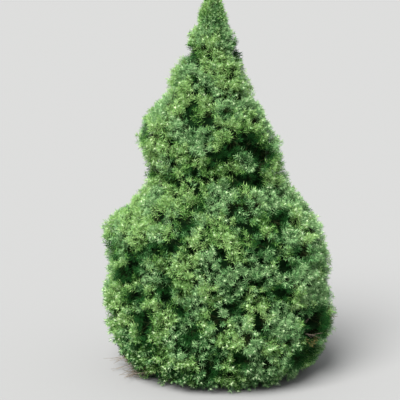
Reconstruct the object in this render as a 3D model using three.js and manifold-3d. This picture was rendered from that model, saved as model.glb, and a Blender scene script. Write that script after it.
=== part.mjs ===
// A dwarf Alberta spruce that grows in the ground: a broad, dense cone of short-needled foliage, about 1.55 m
// tall and 0.95 m across, whose lowest foliage sweeps the ground.
// Millimetres, +Z up, +X to the viewer's right and +Y away from the viewer. The origin is the centre of the
// flat cut under the trunk, at ground level.
//
// One leaning trunk runs up through the crown, and boughs leave it low down. Every mass of foliage grows from
// one stem, which meets a bough's tip or the trunk: twigs branch from that stem, pass through a dense core and
// end in sprays of needles. Each mass keeps to a space of its own, cut off from its neighbours by flat planes.

import * as THREE from 'three';
import { mergeVertices } from 'three/addons/utils/BufferGeometryUtils.js';
import Module from 'manifold-3d';

const wasm = await Module();
wasm.setup();

// Driving dimensions of the trunk
const TREE_HEIGHT = 1560;
const TRUNK_TOP = 1545;
const TRUNK_FOOT_RADIUS = 29;
const TRUNK_TOP_RADIUS = 2.5;
const TRUNK_LEAN = new THREE.Vector2(-26, 10);
const TRUNK_BOW = 5;
const FLARE = 17;
const FLARE_HEIGHT = 42;
const FLARE_RIDGES = 5;
const FLARE_RIDGE_DEPTH = 0.17;
const FLARE_RIDGE_TURN = 0.6;
const TRUNK_SIDES = 15;
const TRUNK_RINGS = 10;
const RINGS_TO_FOOT = 1.7;

// The crown's outline as [height, distance from the trunk's line], on the left and on the right
const LEFT_OUTLINE = [
  [0, 352], [40, 376], [150, 465], [320, 478], [500, 470], [622, 474], [668, 352], [820, 290], [960, 325],
  [1040, 285], [1110, 218], [1225, 168], [1300, 112], [1350, 112], [1425, 62], [1500, 52], [TREE_HEIGHT, 18],
];
const RIGHT_OUTLINE = [
  [0, 345], [40, 390], [120, 452], [220, 505], [320, 462], [450, 466], [600, 432], [740, 330], [830, 290],
  [960, 275], [1110, 172], [1264, 122], [1345, 96], [1425, 62], [1500, 50], [TREE_HEIGHT, 18],
];

// The tiers of foliage from the ground up: the height of the lobes' middles, how many stand round the trunk and
// the direction of the first (0 is right, 90 is away from the viewer). A lobe points out and up by its rise, in
// degrees: length and depth are half its sizes along that line and across it, and stem is its stem's radius.
// A tier with a tilt hangs lower on the left than on the right, and one with boughs stands far from the trunk.
const TIERS = [
  { name: 'skirt', height: 122, lobes: 7, first: 0, rise: 8, length: 150, depth: 142, stem: 7, boughs: true },
  { name: 'lower', height: 296, lobes: 7, first: -25, rise: 18, length: 150, depth: 162, stem: 7, boughs: true },
  { name: 'belly', height: 472, lobes: 7, first: 3, rise: 26, length: 148, depth: 162, stem: 7 },
  { name: 'shoulder', height: 640, tilt: 24, lobes: 7, first: 26, rise: 34, length: 142, depth: 158, stem: 6.5 },
  { name: 'waist', height: 826, tilt: 20, lobes: 5, first: 36, rise: 42, length: 140, depth: 150, stem: 6 },
  { name: 'upper', height: 1006, tilt: 8, lobes: 4, first: -2, rise: 50, length: 138, depth: 134, stem: 5.5 },
  { name: 'neck', height: 1172, lobes: 3, first: 40, rise: 60, length: 132, depth: 92, stem: 5 },
  { name: 'crest', height: 1312, lobes: 3, first: -15, rise: 70, length: 124, depth: 60, stem: 4 },
  { name: 'leader', height: 1440, lobes: 2, first: 100, rise: 82, length: 132, depth: 32, stem: 3 },
];
const HEIGHT_SCATTER = 14;
const TURN_SCATTER = 0.1;

// A lobe's width follows from how many share the tier, and it stays within a share of the crown's reach
const WIDTH_SHARE = 1.75;
const WIDEST_SHARE = 0.85;

// How far a plane between two lobes may move away from the larger one, as a share of the way between them
const MOST_SHIFT = 0.12;

// A mass's core: how far under the lobe's surface it lies, at most as a share of the lobe, how lumpy it is, and
// how much of the lobe's space it fills
const SPRAY_DEPTH = 42;
const DEEPEST_SPRAY = 0.36;
const CORE_RELIEF = 0.25;
const CORE_IN_SPACE = 0.95;

// A mass's sprays: how far apart, how much they vary, how far they turn up, where a shaft is widest between the
// core and the tip, and the least that a spray stands out and reaches
const SPRAY_SPACING = 150;
const SPRAY_CROWDING = 0.8;
const SPRAY_SCATTER = 0.05;
const SPRAY_LIFT = 12;
const WAIST = 0.12;
const LEAST_SPRAY = 20;
const LEAST_REACH = 0.7;
const FURTHEST_BACK = -0.05;
const STEM_IN_CORE = 0.35;

// One spray, at full size. The sprays of a small lobe are smaller.
const SHAFT_RADIUS = 15;
const SHAFT_SIDES = 3;
const NECK_SHARE = 0.75;
const NEEDLE_OUT = 40;
const NEEDLE_FORWARD = 25;
const FULL_LOBE = 140;
const SMALLEST_SPRAY = 0.66;

// Stems and boughs
const STEM_SIDES = 4;
const STEM_TAPER = 0.6;
const STEM_SHARE = 0.85;
const STEM_DROP = 0.34;
const MOST_STEM_DROP = 0.55;
const BOUGH_CLIMB = 38;
const BOUGH_BEND = 0.45;
const BOUGH_FOOT = 1.4;
const BOUGH_TIP = 1.05;
const BOUGH_SIDES = 6;
const BOUGH_RINGS = 3;

// Clearances
const GAP = 0.3;
const SPACE_CLEAR = 0.6;
const TRUNK_CLEAR = 2.5;
const GROUND_CLEAR = 4;

// How finely a point is brought back under the crown's outline
const OUTLINE_STEP = 0.96;
const OUTLINE_STEPS = 16;

const MERGE = 1e-3;
const GOLDEN_TURN = Math.PI * (3 - Math.sqrt(5));
const ELLIPSOID_POWER = 1.6;
const UP = new THREE.Vector3(0, 0, 1);
const OUTWARD = new THREE.Vector3(1, 0, 0);

const { clamp, degToRad, lerp } = THREE.MathUtils;

// A number from 0 to 1 that depends only on the three that it is given
function chance(a, b, c) {
  const s = Math.sin(a * 127.1 + b * 311.7 + c * 74.7) * 43758.5453;
  return s - Math.floor(s);
}

const scatter = (a, b, c) => 2 * chance(a, b, c) - 1;

function along(outline, height) {
  const above = outline.findIndex(([h]) => h >= height);
  if (above <= 0) return outline.at(above)[1];
  const [h0, r0] = outline[above - 1];
  const [h1, r1] = outline[above];
  return lerp(r0, r1, (height - h0) / (h1 - h0));
}

// How far the crown reaches from the trunk's line, at a height and in a direction
function crownReach(height, turn) {
  const toRight = 0.5 + 0.5 * Math.cos(turn);
  return lerp(along(LEFT_OUTLINE, height), along(RIGHT_OUTLINE, height), toRight);
}

// The middle of the trunk at a height
function trunkLine(height) {
  const share = height / TREE_HEIGHT;
  const bow = TRUNK_BOW * Math.sin(2 * Math.PI * share);
  return new THREE.Vector3(TRUNK_LEAN.x * share + bow, TRUNK_LEAN.y * share, height);
}

function trunkRadius(height, turn) {
  const taper = lerp(TRUNK_FOOT_RADIUS, TRUNK_TOP_RADIUS, height / TRUNK_TOP);
  const foot = Math.exp(-height / FLARE_HEIGHT);
  const ridges = 1 + FLARE_RIDGE_DEPTH * foot * Math.cos(FLARE_RIDGES * turn + FLARE_RIDGE_TURN);
  return (taper + FLARE * foot) * ridges;
}

// A geometry with only its positions, and one vertex where several meet
function welded(geometry) {
  const bare = geometry.clone();
  bare.deleteAttribute('normal');
  bare.deleteAttribute('uv');
  return mergeVertices(bare, MERGE);
}

// A solid of a geometry whose faces all point out
function solidOf(geometry) {
  const merged = welded(geometry);
  return new wasm.Manifold(new wasm.Mesh({
    numProp: 3,
    vertProperties: new Float32Array(merged.attributes.position.array),
    triVerts: new Uint32Array(merged.index.array),
  }));
}

function geometryFrom(points, faces) {
  const geometry = new THREE.BufferGeometry();
  geometry.setAttribute('position', new THREE.BufferAttribute(new Float32Array(points), 3));
  geometry.setIndex(new THREE.BufferAttribute(new Uint32Array(faces), 1));
  return geometry;
}

// A round limb along a line. place(share) gives its middle and two directions across it, and radius(share, turn)
// its thickness. A pointed limb ends in one vertex, and any other in a flat cut.
function limbGeometry(place, radius, sides, rings, pointed) {
  const limb = new THREE.CylinderGeometry(pointed ? 0 : 1, 1, 1, sides, rings);
  const position = limb.attributes.position;
  for (let i = 0; i < position.count; i += 1) {
    const share = position.getY(i) + 0.5;
    const x = position.getX(i);
    const z = position.getZ(i);
    const turn = Math.atan2(z, x);
    const { middle, across, over } = place(share);
    const r = Math.hypot(x, z) < MERGE ? 0 : radius(share, turn);
    const p = middle.clone();
    p.addScaledVector(across, r * Math.cos(turn)).addScaledVector(over, r * Math.sin(turn));
    position.setXYZ(i, p.x, p.y, p.z);
  }
  return limb;
}

// Two directions across a limb that runs in a direction, so that its faces point out
function acrossLimb(direction) {
  const reference = Math.abs(direction.z) > 0.9 ? OUTWARD : UP;
  const across = new THREE.Vector3().crossVectors(direction, reference).normalize();
  return { across, over: new THREE.Vector3().crossVectors(across, direction) };
}

// The trunk, whose rings lie closer together at its flared foot, and all round it an extra thickness
function trunkSolid(extra) {
  const ringHeight = (share) => TRUNK_TOP * share ** RINGS_TO_FOOT;
  const across = OUTWARD;
  const over = new THREE.Vector3(0, -1, 0);
  const place = (share) => ({ middle: trunkLine(ringHeight(share)), across, over });
  const radius = (share, turn) => trunkRadius(ringHeight(share), turn) + extra;
  return solidOf(limbGeometry(place, radius, TRUNK_SIDES, TRUNK_RINGS, false));
}

// A bough that curves up from one point to another, which it reaches in a given direction
function boughSolid(from, to, endDirection, stemRadius) {
  const bend = to.clone().addScaledVector(endDirection, -BOUGH_BEND * from.distanceTo(to));
  const curve = new THREE.QuadraticBezierCurve3(from, bend, to);
  const place = (share) => ({ middle: curve.getPoint(share), ...acrossLimb(curve.getTangent(share)) });
  const radius = (share) => stemRadius * lerp(BOUGH_FOOT, BOUGH_TIP, share);
  return solidOf(limbGeometry(place, radius, BOUGH_SIDES, BOUGH_RINGS, false));
}

// A straight stem with a flat cut at its foot
function stemSolid(from, to, footRadius) {
  const { across, over } = acrossLimb(to.clone().sub(from).normalize());
  const place = (share) => ({ middle: from.clone().lerp(to, share), across, over });
  const radius = (share) => footRadius * lerp(1, STEM_TAPER, share);
  return solidOf(limbGeometry(place, radius, STEM_SIDES, 1, false));
}

// Pulls chosen faces of a closed surface out into needles. pick(corners) gives a needle's point, or null.
function pullNeedles(geometry, pick) {
  const merged = welded(geometry);
  const points = Array.from(merged.attributes.position.array);
  const faces = [];
  const index = merged.index.array;
  for (let i = 0; i < index.length; i += 3) {
    const [a, b, c] = index.slice(i, i + 3);
    const point = pick([a, b, c].map((v) => new THREE.Vector3().fromArray(points, 3 * v)));
    if (point) {
      const apex = points.length / 3;
      points.push(point.x, point.y, point.z);
      faces.push(a, b, apex, b, c, apex, c, a, apex);
    } else {
      faces.push(a, b, c);
    }
  }
  return geometryFrom(points, faces);
}

// A twig and its spray: a slim three-sided shaft that starts as a point on the stem, is thickest at its waist
// just outside the core and ends in a point. Needles that lean towards the tip are pulled out of its faces past
// the waist. A needle that would leave the mass's space is skipped.
function spraySolid(foot, waist, tip, size, isInside) {
  const stations = [foot, waist, waist.clone().lerp(tip, 0.5), tip];
  const radii = [0, SHAFT_RADIUS, NECK_SHARE * SHAFT_RADIUS, 0];
  const last = stations.length - 1;
  const direction = tip.clone().sub(waist).normalize();
  const { across, over } = acrossLimb(direction);
  const place = (share) => {
    const station = Math.round(share * last);
    const c = Math.cos((station * Math.PI) / SHAFT_SIDES);
    const s = Math.sin((station * Math.PI) / SHAFT_SIDES);
    return {
      middle: stations[station],
      across: across.clone().multiplyScalar(c).addScaledVector(over, s),
      over: over.clone().multiplyScalar(c).addScaledVector(across, -s),
    };
  };
  const radius = (share) => size * radii[Math.round(share * last)];
  const shaft = limbGeometry(place, radius, SHAFT_SIDES, last, true);
  const pick = (corners) => {
    const middle = corners[0].clone().add(corners[1]).add(corners[2]).divideScalar(3);
    const past = middle.clone().sub(waist).dot(direction);
    if (past < 0 || corners.some((corner) => corner.distanceTo(tip) < 1)) return null;
    const out = middle.clone().sub(waist).addScaledVector(direction, -past).normalize();
    middle.addScaledVector(out, size * NEEDLE_OUT).addScaledVector(direction, size * NEEDLE_FORWARD);
    return isInside(middle) ? middle : null;
  };
  return solidOf(pullNeedles(shaft, pick));
}

// The lobes of foliage: each one's middle, the directions along and across it, half its three sizes, and how
// much smaller than full size its sprays are
function layLobes() {
  return TIERS.flatMap((tier, t) => Array.from({ length: tier.lobes }, (_, i) => {
    const turn = degToRad(tier.first + (360 / tier.lobes) * (i + TURN_SCATTER * scatter(t, i, 1)));
    const height = tier.height + (tier.tilt ?? 0) * Math.cos(turn) + HEIGHT_SCATTER * scatter(t, i, 2);
    const rise = degToRad(tier.rise);
    const outward = new THREE.Vector3(Math.cos(turn), Math.sin(turn), 0);
    const axis = outward.clone().multiplyScalar(Math.cos(rise)).addScaledVector(UP, Math.sin(rise));
    const side = new THREE.Vector3(-Math.sin(turn), Math.cos(turn), 0);
    const level = Math.hypot(tier.length * Math.cos(rise), tier.depth * Math.sin(rise));
    const reach = crownReach(height, turn);
    const distance = reach - level;
    const halfWidth = (WIDTH_SHARE * Math.PI * Math.max(distance, level)) / tier.lobes;
    return {
      name: `${tier.name}_${i + 1}`, tier, key: 10 * t + i, turn, distance, outward, axis, side,
      top: new THREE.Vector3().crossVectors(axis, side),
      half: [tier.length, Math.min(halfWidth, WIDEST_SHARE * reach), tier.depth],
      middle: trunkLine(height).addScaledVector(outward, distance),
      fineness: clamp(tier.depth / FULL_LOBE, SMALLEST_SPRAY, 1),
    };
  }));
}

// The planes that cut a lobe's space off from its neighbours', as [normal, offset]
function spacePlanes(lobe, lobes) {
  const size = ({ half: [a, b, c] }) => Math.cbrt(a * b * c);
  return lobes.filter((other) => other !== lobe).map((other) => {
    const normal = other.middle.clone().sub(lobe.middle);
    const distance = normal.length();
    normal.divideScalar(distance);
    const shift = (size(lobe) ** 2 - size(other) ** 2) / (2 * distance ** 2);
    const share = 0.5 + clamp(shift, -MOST_SHIFT, MOST_SHIFT);
    return [normal, normal.dot(lobe.middle) + share * distance - SPACE_CLEAR];
  });
}

// How much of the way from a lobe's middle to a point stays in the lobe's space, clear of trunk and ground. It
// is more than 1 where there is room beyond the point.
function shareInside(lobe, point) {
  const way = point.clone().sub(lobe.middle);
  const room = lobe.distance - TRUNK_CLEAR - trunkRadius(Math.max(0, lobe.middle.z - lobe.half[2]), lobe.turn);
  const shares = lobe.planes.map(([normal, offset]) => [normal.dot(way), offset - normal.dot(lobe.middle)]);
  shares.push([-way.z, lobe.middle.z - GROUND_CLEAR], [-way.dot(lobe.outward), room]);
  return Math.min(...shares.map(([step, most]) => (step > 0 ? most / step : Infinity)));
}

// The same, but at most 1, and no further than the crown's outline less an inset
function shareInCrown(lobe, point, inset) {
  let share = Math.min(1, shareInside(lobe, point));
  for (let i = 0; i < OUTLINE_STEPS; i += 1) {
    const p = lobe.middle.clone().lerp(point, share);
    const fromTrunk = p.clone().sub(trunkLine(p.z));
    const reach = crownReach(p.z, Math.atan2(fromTrunk.y, fromTrunk.x)) - inset;
    if (Math.hypot(fromTrunk.x, fromTrunk.y) < reach && p.z + 0.5 * inset < TREE_HEIGHT) break;
    share *= OUTLINE_STEP;
  }
  return share;
}

// The point in a direction on a lobe whose sizes are scaled by a share
function onLobe(lobe, direction, share) {
  return lobe.middle.clone()
    .addScaledVector(lobe.axis, lobe.half[0] * direction.x * share)
    .addScaledVector(lobe.side, lobe.half[1] * direction.y * share)
    .addScaledVector(lobe.top, lobe.half[2] * direction.z * share);
}

// A point on a lobe's core, which lies under the sprays and stays in the lobe's space
function onCore(lobe, direction, relief) {
  const depth = Math.min(DEEPEST_SPRAY, SPRAY_DEPTH / onLobe(lobe, direction, 1).distanceTo(lobe.middle));
  const point = onLobe(lobe, direction, 1 - depth * relief);
  const inCrown = shareInCrown(lobe, point, SPRAY_DEPTH * relief);
  const share = Math.min(CORE_IN_SPACE * shareInside(lobe, point), inCrown);
  return point.lerp(lobe.middle, 1 - share);
}

// The dense inside of a mass: a lumpy ball that stays in the lobe's space
function coreSolid(lobe) {
  const core = welded(new THREE.IcosahedronGeometry(1, 1));
  const position = core.attributes.position;
  for (let i = 0; i < position.count; i += 1) {
    const direction = new THREE.Vector3().fromBufferAttribute(position, i).normalize();
    const point = onCore(lobe, direction, 1 + CORE_RELIEF * scatter(lobe.key, i, 3));
    position.setXYZ(i, point.x, point.y, point.z);
  }
  return solidOf(core);
}

// Directions spread evenly over a ball by the golden angle, from its front to its back
function evenDirection(i, count, firstTurn) {
  const x = 1 - (2 * i + 1) / count;
  const turn = GOLDEN_TURN * i + firstTurn;
  const r = Math.sqrt(1 - x * x);
  return new THREE.Vector3(x, r * Math.cos(turn), r * Math.sin(turn));
}

function sprayCount(lobe) {
  const [a, b, c] = lobe.half.map((size) => size ** ELLIPSOID_POWER);
  const area = 4 * Math.PI * ((a * b + a * c + b * c) / 3) ** (1 / ELLIPSOID_POWER);
  return Math.round(area / (SPRAY_CROWDING * (SPRAY_SPACING * lobe.fineness) ** 2));
}

// A lobe's sprays, each as its direction, tip and waist. Those that point back to the trunk or lie too far into
// a neighbour's space are left out.
function sprayPlan(lobe) {
  const count = sprayCount(lobe);
  const firstTurn = 2 * Math.PI * chance(lobe.key, 0, 4);
  const plan = [];
  for (let i = 0; i < count; i += 1) {
    const direction = evenDirection(i, count, firstTurn);
    const furthest = onLobe(lobe, direction, 1 - SPRAY_SCATTER * chance(lobe.key, i, 5));
    furthest.z += SPRAY_LIFT * (1 - direction.x ** 2);
    const share = shareInCrown(lobe, furthest, 0);
    const tip = lobe.middle.clone().lerp(furthest, share);
    const reach = tip.distanceTo(lobe.middle);
    const core = onCore(lobe, direction, 1).distanceTo(lobe.middle);
    const waist = lobe.middle.clone().lerp(tip, lerp(core / reach, 1, WAIST));
    if (direction.x > FURTHEST_BACK && share > LEAST_REACH && reach > core + LEAST_SPRAY) {
      plan.push({ direction, tip, waist });
    }
  }
  return plan;
}

// A mass: the stem, the core round it, and the twigs that leave the stem and stand out of the core as sprays
function massSolid(lobe, stemStart) {
  const isInside = (point) => shareInside(lobe, point) >= 1;
  const parts = [coreSolid(lobe), stemSolid(stemStart, lobe.middle, lobe.tier.stem)];
  for (const { direction, tip, waist } of sprayPlan(lobe)) {
    const foot = onLobe(lobe, OUTWARD, STEM_IN_CORE * direction.x);
    parts.push(spraySolid(foot, waist, tip, lobe.fineness, isInside));
  }
  return wasm.Manifold.union(parts);
}

// The largest body of a solid, without the scraps that a cut leaves
const withoutScraps = (solid) => solid.decompose().reduce((a, b) => (a.volume() > b.volume() ? a : b));

const barkMaterial = () => new THREE.MeshStandardMaterial({ color: 0x6a5646, roughness: 0.95, metalness: 0 });
const leafMaterial = () => new THREE.MeshStandardMaterial({ color: 0x5d8a3f, roughness: 0.75, metalness: 0 });

function addMesh(group, name, solid, material) {
  const { vertProperties, triVerts } = solid.getMesh();
  const geometry = geometryFrom(vertProperties, triVerts);
  geometry.computeVertexNormals();
  const mesh = new THREE.Mesh(geometry, material);
  mesh.name = name;
  group.add(mesh);
}

const tree = new THREE.Group();
tree.name = 'dwarf_spruce';
addMesh(tree, 'trunk', trunkSolid(0), barkMaterial());

const trunkAndGap = trunkSolid(GAP);
const lobes = layLobes();
for (const lobe of lobes) lobe.planes = spacePlanes(lobe, lobes);
for (const lobe of lobes) {
  if (lobe.tier.boughs) {
    const entry = lobe.middle.clone().addScaledVector(lobe.axis, -STEM_SHARE * lobe.half[0]);
    const bough = boughSolid(trunkLine(entry.z - BOUGH_CLIMB), entry, lobe.axis, lobe.tier.stem);
    addMesh(tree, `bough_${lobe.name}`, bough.subtract(trunkAndGap), barkMaterial());
    addMesh(tree, `foliage_${lobe.name}`, massSolid(lobe, entry.addScaledVector(lobe.axis, GAP)), leafMaterial());
  } else {
    const drop = Math.min(STEM_DROP * lobe.distance, MOST_STEM_DROP * lobe.half[2]);
    const mass = massSolid(lobe, trunkLine(lobe.middle.z - drop)).subtract(trunkAndGap);
    addMesh(tree, `foliage_${lobe.name}`, withoutScraps(mass), leafMaterial());
  }
}

export default tree;
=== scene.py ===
"""A dwarf Alberta spruce rooted in the ground: bark, twigs, needles and fresh tips, grown by a seeded rule.

Lengths are in millimetres up to the making of the pieces. First comes the rule that lays out the solids:
an outline, tiers of lobes round one trunk, and the number of sprays on each lobe. It is carried on from
there: each spray becomes several clumps of shoots, and each shoot gets its twig, needles and fresh tip.
"""

import math
from collections import namedtuple
from dataclasses import dataclass

import bmesh
import bpy
import numpy as np
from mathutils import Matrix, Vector
from mathutils.kdtree import KDTree


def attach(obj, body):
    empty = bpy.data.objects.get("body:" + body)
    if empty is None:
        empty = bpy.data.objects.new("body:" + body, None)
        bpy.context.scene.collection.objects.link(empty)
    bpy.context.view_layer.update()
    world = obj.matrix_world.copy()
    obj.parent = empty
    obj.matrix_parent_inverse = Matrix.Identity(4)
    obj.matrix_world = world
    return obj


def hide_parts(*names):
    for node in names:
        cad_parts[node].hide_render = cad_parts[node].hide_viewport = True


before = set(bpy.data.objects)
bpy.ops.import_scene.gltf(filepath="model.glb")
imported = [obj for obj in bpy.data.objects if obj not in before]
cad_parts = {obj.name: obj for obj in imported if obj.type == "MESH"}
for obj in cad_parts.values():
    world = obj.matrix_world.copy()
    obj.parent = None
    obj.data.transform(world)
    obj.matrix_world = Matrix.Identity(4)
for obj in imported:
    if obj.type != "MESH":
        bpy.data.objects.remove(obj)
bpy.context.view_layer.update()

MM = 0.001
SEED = 20
random = np.random.default_rng(SEED)
UP = np.array([0.0, 0.0, 1.0])
GOLDEN_TURN = math.pi * (3 - math.sqrt(5))

# The trunk, as in the solids
TREE_HEIGHT = 1560
TRUNK_TOP = 1545
TRUNK_FOOT_RADIUS = 29
TRUNK_TOP_RADIUS = 2.5
TRUNK_LEAN = (-26, 10)
TRUNK_BOW = 5
FLARE = 17
FLARE_HEIGHT = 42
FLARE_RIDGES = 5
FLARE_RIDGE_DEPTH = 0.17
FLARE_RIDGE_TURN = 0.6

# The crown's outline as (height, distance from the trunk's line), on the left and on the right
LEFT_OUTLINE = [
    (0, 352), (40, 376), (150, 465), (320, 478), (500, 470), (622, 474), (668, 352), (820, 290),
    (960, 325), (1040, 285), (1110, 218), (1225, 168), (1300, 112), (1350, 112), (1425, 62), (1500, 52),
    (TREE_HEIGHT, 18),
]
RIGHT_OUTLINE = [
    (0, 345), (40, 390), (120, 452), (220, 505), (320, 462), (450, 466), (600, 432), (740, 330),
    (830, 290), (960, 275), (1110, 172), (1264, 122), (1345, 96), (1425, 62), (1500, 50),
    (TREE_HEIGHT, 18),
]

# One ring of lobes: height, number, the first one's direction, their rise, half sizes and stem
Tier = namedtuple("Tier", "height lobes first rise length depth stem tilt boughs", defaults=(0, False))
# The skirt, the lower tier, the belly, shoulder, waist, upper tier, neck, crest and leader
TIERS = [
    Tier(122, 7, 0, 8, 150, 142, 7, boughs=True),
    Tier(296, 7, -25, 18, 150, 162, 7, boughs=True),
    Tier(472, 7, 3, 26, 148, 162, 7),
    Tier(640, 7, 26, 34, 142, 158, 6.5, tilt=24),
    Tier(826, 5, 36, 42, 140, 150, 6, tilt=20),
    Tier(1006, 4, -2, 50, 138, 134, 5.5, tilt=8),
    Tier(1172, 3, 40, 60, 132, 92, 5),
    Tier(1312, 3, -15, 70, 124, 60, 4),
    Tier(1440, 2, 100, 82, 132, 32, 3),
]
HEIGHT_SCATTER = 14
TURN_SCATTER = 0.1
WIDTH_SHARE = 1.75
WIDEST_SHARE = 0.85
MOST_SHIFT = 0.12
SPRAY_SPACING = 150
SPRAY_CROWDING = 0.8
FULL_LOBE = 140
SMALLEST_SPRAY = 0.66
SPACE_CLEAR = 0.6
TRUNK_CLEAR = 2.5
GROUND_CLEAR = 4
OUTLINE_STEP = 0.96
OUTLINE_STEPS = 16
ELLIPSOID_POWER = 1.6

# Stems and boughs, as in the solids, and how finely they are drawn
STEM_IN_CORE = 0.35
STEM_SHARE = 0.85
STEM_DROP = 0.34
MOST_STEM_DROP = 0.55
STEM_BEND = 0.3
STEM_TIP = 0.45
STEM_STATIONS = 8
STEM_SIDES = 8
BOUGH_CLIMB = 38
BOUGH_BEND = 0.45
BOUGH_TAPER = (1.4, 1.05)
BOUGH_STATIONS = 20
BOUGH_SIDES = 14

# The trunk's bark: waves as (number round it, pitch along it), and how they wander
BARK_WAVES = [(5, 34), (8, 19), (13, 11), (21, 6.5)]
BARK_PHASE = 2.1
BARK_WANDER = 1.3
BARK_WANDER_PITCH = 0.9
BARK_SWAY = 1.7
BARK_SWAY_TURNS = 3
BARK_FADE = 0.8
BARK_DEPTH = 0.9
THINNEST_BARK = 0.1
TRUNK_SIDES = 56
TRUNK_RINGS = 200
TRUNK_RING_POWER = 1.35

# Clumps carry the sprays on: more of them, each a ball of shoots round the end of a twig
CLUMP_SPACING = 92
CLUMP_TURN_SCATTER = 0.12
CLUMP_RADIUS = 61
CLUMP_SCATTER = 0.27
LOBE_SWELL = 1.22
CLUMP_SINK = 0.3
EDGE_SINK = 0.14
EDGE_WIDTH = 0.2
CLUMP_REACH = 0.36
CLUMP_BACK = -0.35

# Clumps that stand further out of the outline than this shrink step by step
MOST_OUT = 20
FIT_DIRECTIONS = 40
FIT_STEPS = 8
FIT_SHRINK = 0.92

# More clumps, in rings a little under the outline, fill what the lobes leave open
FILL_SPACING = 56
FILL_HEIGHTS = (42, 1500)
FILL_DEPTH = 48
FILL_GAP = 4
FILL_RADIUS = 48
FILL_SIZES = (0.85, 1.1)
FILL_SET_BACK = 0.6
FEWEST_IN_RING = 4
FULL_REACH = 250
# The same on the ledge over the low part, as (height, depth under the outline)
LEDGE_RINGS = [(596, 98), (604, 150), (640, 84)]
LEDGE_GAP = -16
# Lumps at pixels of the photo, how far behind the outline their middles lie, and their radius
LUMPS = [(157, 212), (167, 222), (158, 226), (148, 206), (170, 208)]
LUMP_DEPTH = 48
LUMP_RADIUS = 44

# The leader: its clumps as (height, radius), and the shoots round it, from the lowest to the highest
LEADER_FOOT = 1400
LEADER_CLUMPS = [(1425, 42), (1470, 33), (1502, 20)]
LEADER_SHOOTS = 60
LEADER_HEIGHTS = (1485, 1574)
LEADER_WIDTHS = (31, 1)
LEADER_LEAN = (0.9, 0.1)
LEADER_OPENNESS = 0.8
LEADER_HIDDEN = -32
# It closes to a point, and the edge of the low part's top is blunt: no height and reach add up to more
SPIRE_TOP = 1578
SPIRE_SLOPE = 0.4
BLUNT_BELOW = 700
BLUNT_SUM = 1064

# Tufts over each clump: how far apart, how deep their roots lie, and how far they turn up and scatter
TUFT_SPACING = 38.5
TUFT_TURN_SCATTER = 0.14
TUFT_ROOT = 34
TUFT_LIFT = 0.5
LEAST_LIFT = -0.2
LEVEL_BELOW = 25
LIFTED_ABOVE = 150
TUFT_SCATTER = 0.28
TUFT_RELIEF = 15
RELIEF_RANGE = (-1, 0.6)
TUFT_HIDDEN = -10

# Shoots: how many in a tuft, how far they fan out, the middle one less, and how long they are
SHOOTS_A_TUFT = 4
SHOOT_FAN = 0.6
MIDDLE_FAN = 0.3
SHOOT_REACH = (34, 52)
SHOOT_LENGTH = (22, 36)
SHOOT_HIDDEN = -9
DEEPEST_SHOOT = 125
EDGE_RAGGED = 7
MOST_TRIM = 56
LOWEST_TIP = 7
LOWEST_FOOT = 4
LOWEST_NEEDLE = 1.5
LOWEST_TWIG = 5
SEEN_ABOVE = 70

# How open a place is: the ways out that are tried, as (to the side, up), and the steps along them
VIEW_WAYS = [(0, 0), (0.8, 0.1), (-0.8, 0.1), (0, 0.9), (0, -0.8), (0, 2.6)]
VIEW_STEPS = [22, 45, 75, 110]
VIEW_GAP = -4
LEAST_OPEN = 0.3
# For a shoot that is mixed with its gap to other clumps, and then falls off with its depth
OPEN_WAYS_SHARE = 0.45
OPEN_GAP_SHARE = 0.55
OPEN_GAP_START = 14
OPEN_GAP_WIDTH = 40
OPEN_AT_EDGE = 1.2
OPEN_DEPTH = 85
LEAST_OPENNESS = 0.1

# Twigs: those of the clumps, from foot to tip, and the fine ones that carry each shoot
TWIG_END = 0.4
TWIG_SAG = 0.08
TWIG_STATIONS = 6
TWIG_SIDES = 4
TWIG_RADII = (2.6, 0.9)
SHOOT_TWIG_START = 0.25
SHOOT_TWIG_RADIUS = 1.4
SPIKE_FACES = np.array([[0, 1, 3], [1, 2, 3], [2, 0, 3]])

# A lobe's core, near black as painted shade: how far under the surface it lies, and how much of the lobe's
# space it fills
CORE_DEPTH = 72
DEEPEST_CORE = 0.6
CORE_FILL = 0.985
CORE_ROUGH = 0.1
CORE_CUTS = 3
# The crown's heart, near black as painted shade, which closes the space between the cores
HEART_HEIGHTS = (45, 1420)
HEART_RINGS = 70
HEART_SIDES = 48
HEART_DEPTH = 92
SHALLOWEST_HEART = 0.45
THINNEST_HEART = 14
HEART_ROUGH = 0.1

# Deep shoots, with needles in near-black painted shade, cover the cores where no other shoot does: how many
# core points apart, and how far to others
DEEP_STEP = 3
DEEP_REACH = 28
DEEP_BARE = 30
DEEPEST_SEEN = 175
DEEP_SCATTER = 0.4
DEEP_NEEDLES = 12

# Needles: how many on a shoot, their size, how far they stand off at the shoot's foot and tip, their scatter
NEEDLES_A_SHOOT = 22
NEEDLE_LENGTH = (14, 21)
NEEDLE_WIDTH = 1.15
NEEDLE_FOLD = 0.35
WIDEST_AT = 0.45
NEEDLE_ROW = (0.05, 0.97)
NEEDLE_SPREAD = (84, 38)
NEEDLE_SHIFT = 0.02
NEEDLE_TURN = 0.3
NEEDLE_TILT = 9
MOST_NEEDLES = 90000
BLADE_POINTS = 4
BLADE_FACES = np.array([[0, 1, 2], [0, 2, 3]])
NEARLY_UPRIGHT = 0.9

# Fresh tips: pale buds with short needles round them
BUD_LENGTH = 7
BUD_RADIUS = 2.2
BUD_SUNK = 0.3
FRESH_NEEDLES = 6
FRESH_ROW = (0.9, 0.99)
FRESH_LENGTH = (7, 10)
FRESH_SPREAD = (32, 32)
TIP_SCATTER = 0.3
PALE_SHARE = 0.07
GREEN_SHARE = 0.36

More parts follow.
